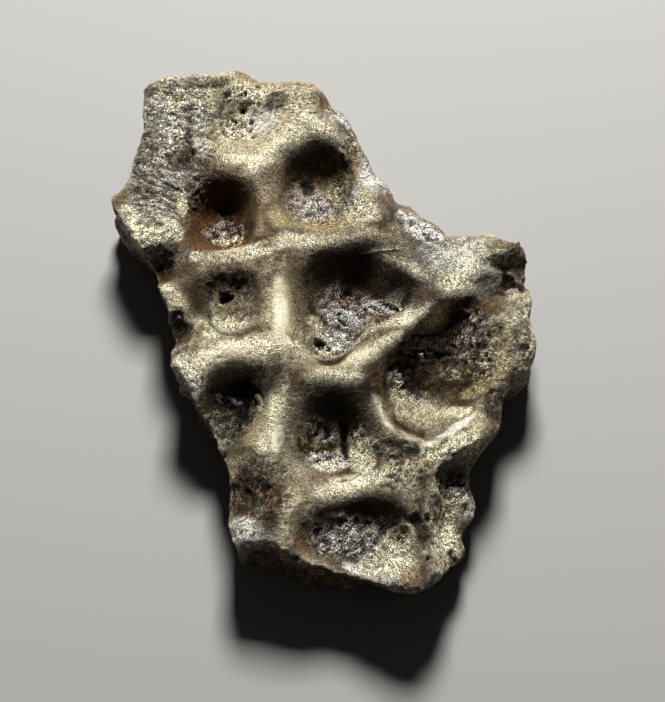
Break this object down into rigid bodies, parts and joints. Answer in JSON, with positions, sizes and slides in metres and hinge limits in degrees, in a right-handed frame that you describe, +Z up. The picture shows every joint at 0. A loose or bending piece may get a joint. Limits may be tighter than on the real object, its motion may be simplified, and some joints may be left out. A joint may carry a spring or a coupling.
{
  "type": "fossil amphibian scute",
  "caption": "Broken fragment of fossil amphibian dermal plate: deep oval pits between rounded ridges on the upper face, fractured rim, nearly flat inner face.",
  "frame": {"origin": "centre of the bounding box in plan, on the surface the fragment lies on", "axes": "+Z up out of the pitted face, +Y along the fragment's length from its pointed end to its broad end, +X to the right seen from above"},
  "size_m": [0.0408, 0.0536, 0.0093],
  "materials": {
    "fossil_bone": "permineralised bone, satin on the worn ridges, granular in the pits and on the broken edges"
  },
  "bodies": {
    "root": {"scute": "fossil_bone"}
  },
  "joints": []
}
